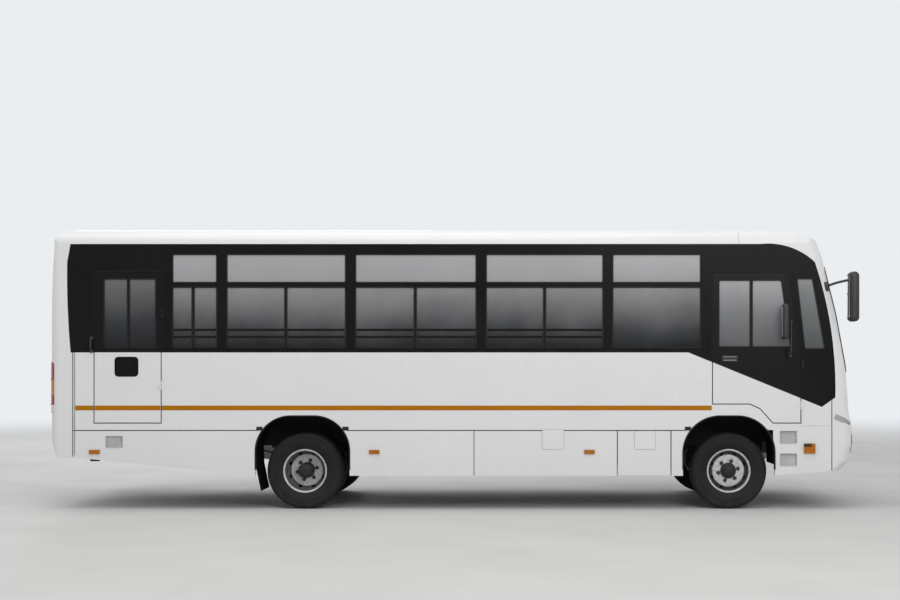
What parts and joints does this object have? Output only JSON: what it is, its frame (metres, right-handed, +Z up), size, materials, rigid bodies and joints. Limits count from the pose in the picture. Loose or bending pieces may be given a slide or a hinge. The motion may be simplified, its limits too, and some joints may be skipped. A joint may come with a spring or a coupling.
{
  "type": "city bus",
  "caption": "Front-engined right-hand-drive midi bus with steering front wheels, twin rear wheels, a folding service door, a driver's door and an emergency door.",
  "frame": {"origin": "on the ground under the middle of the body's box", "axes": "+X forward to the nose, -Y to the driver's side with its door, +Z up"},
  "size_m": [9.186, 2.78, 3.21],
  "materials": {
    "white_paint": "gloss",
    "black_paint": "gloss",
    "chassis_paint": "satin",
    "axle_iron": "rough",
    "spring_steel": "satin",
    "floor_sheet": "matte",
    "body_glass": "gloss",
    "screen_glass": "gloss",
    "amber_lens": "gloss",
    "clear_lens": "gloss",
    "red_lens": "gloss",
    "black_plastic": "matte",
    "grey_plastic": "matte",
    "seat_cloth": "matte",
    "tyre_rubber": "matte",
    "liner_rubber": "matte",
    "silver_paint": "satin",
    "tube_steel": "satin",
    "alloy_core": "matte"
  },
  "bodies": {
    "bus_body": {"roof": "white_paint", "front_fascia": "white_paint", "rear_fascia": "white_paint", "side_right": "white_paint", "side_left": "white_paint", "skirts": "white_paint", "window_band_right": "black_paint", "window_band_left": "black_paint", "windshield": "screen_glass", "rear_window": "body_glass", "side_glass": "body_glass", "headlamps": "clear_lens", "tail_lamps": "red_lens", "marker_lamps": "amber_lens", "grille": "black_plastic", "ear_mirrors": "black_plastic", "door_hinges": "black_paint", "chassis_frame": "chassis_paint", "cross_members": "chassis_paint", "floor_bearers": "chassis_paint", "engine_block": "axle_iron", "radiator": "alloy_core", "rear_axle": "axle_iron", "front_axle": "axle_iron", "leaf_springs": "spring_steel", "propeller_shaft": "chassis_paint", "fuel_tank": "chassis_paint", "battery_box": "chassis_paint", "exhaust": "spring_steel", "arch_liners": "liner_rubber", "floor": "floor_sheet", "engine_cover": "grey_plastic", "dashboard": "black_plastic", "driver_seat": "seat_cloth", "seat_cushions": "seat_cloth", "seat_backs": "seat_cloth", "seat_frames": "chassis_paint", "handrails": "tube_steel", "window_guards": "tube_steel"},
    "driver_door": {"driver_door": "white_paint", "driver_door_glass": "body_glass", "door_mirror": "black_plastic"},
    "emergency_door": {"emergency_door": "white_paint", "emergency_door_glass": "body_glass"},
    "service_leaf_front": {"service_door_front": "black_paint", "service_door_front_glass": "screen_glass"},
    "service_leaf_rear": {"service_door_rear": "black_paint", "service_door_rear_glass": "screen_glass"},
    "battery_flap": {"battery_flap": "white_paint"},
    "knuckle_right": {"knuckle_right": "axle_iron"},
    "knuckle_left": {"knuckle_left": "axle_iron"},
    "tie_rod": {"tie_rod": "spring_steel"},
    "wheel_front_right": {"rim_front_right": "silver_paint", "tyre_front_right": "tyre_rubber"},
    "wheel_front_left": {"rim_front_left": "silver_paint", "tyre_front_left": "tyre_rubber"},
    "wheels_rear_right": {"rim_rear_right": "silver_paint", "tyre_rear_right": "tyre_rubber"},
    "wheels_rear_left": {"rim_rear_left": "silver_paint", "tyre_rear_left": "tyre_rubber"}
  },
  "joints": [
    {"name": "steer_right", "type": "hinge", "parent": "bus_body", "child": "knuckle_right", "pos_m": [3.107, -0.88, 0.43], "axis": [0, 0, 1], "range_deg": [-30, 30]},
    {"name": "steer_left", "type": "hinge", "parent": "bus_body", "child": "knuckle_left", "pos_m": [3.107, 0.88, 0.43], "axis": [0, 0, 1], "range_deg": [-30, 30]},
    {"name": "tie_rod_pivot", "type": "hinge", "parent": "knuckle_right", "child": "tie_rod", "pos_m": [2.917, -0.88, 0.33], "axis": [0, 0, 1], "range_deg": [-30, 30]},
    {"name": "wheel_spin_front_right", "type": "hinge", "parent": "knuckle_right", "child": "wheel_front_right", "pos_m": [3.107, -1.035, 0.43], "axis": [0, 1, 0], "continuous": true},
    {"name": "wheel_spin_front_left", "type": "hinge", "parent": "knuckle_left", "child": "wheel_front_left", "pos_m": [3.107, 1.035, 0.43], "axis": [0, 1, 0], "continuous": true},
    {"name": "wheel_spin_rear_right", "type": "hinge", "parent": "bus_body", "child": "wheels_rear_right", "pos_m": [-1.704, -0.9, 0.43], "axis": [0, 1, 0], "continuous": true},
    {"name": "wheel_spin_rear_left", "type": "hinge", "parent": "bus_body", "child": "wheels_rear_left", "pos_m": [-1.704, 0.9, 0.43], "axis": [0, 1, 0], "continuous": true},
    {"name": "driver_door_hinge", "type": "hinge", "parent": "bus_body", "child": "driver_door", "pos_m": [3.9145, -1.208, 1.4], "axis": [0, 0, 1], "range_deg": [0, 68]},
    {"name": "emergency_door_hinge", "type": "hinge", "parent": "bus_body", "child": "emergency_door", "pos_m": [-3.3225, -1.208, 1.8], "axis": [0, 0, 1], "range_deg": [0, 100]},
    {"name": "service_door_hinge", "type": "hinge", "parent": "bus_body", "child": "service_leaf_front", "pos_m": [2.531, 1.161, 1.5], "axis": [0, 0, 1], "range_deg": [0, 85]},
    {"name": "service_fold_hinge", "type": "hinge", "parent": "service_leaf_front", "child": "service_leaf_rear", "pos_m": [2.135, 1.203, 1.5], "axis": [0, 0, 1], "range_deg": [-170, 0]},
    {"name": "battery_flap_hinge", "type": "hinge", "parent": "bus_body", "child": "battery_flap", "pos_m": [2.1405, -1.205, 0.8895], "axis": [-1, 0, 0], "range_deg": [0, 80]}
  ],
  "couplings": [
    {"joint": "steer_left", "follows": "steer_right", "ratio": 1},
    {"joint": "tie_rod_pivot", "follows": "steer_right", "ratio": -1},
    {"joint": "service_fold_hinge", "follows": "service_door_hinge", "ratio": -2}
  ]
}
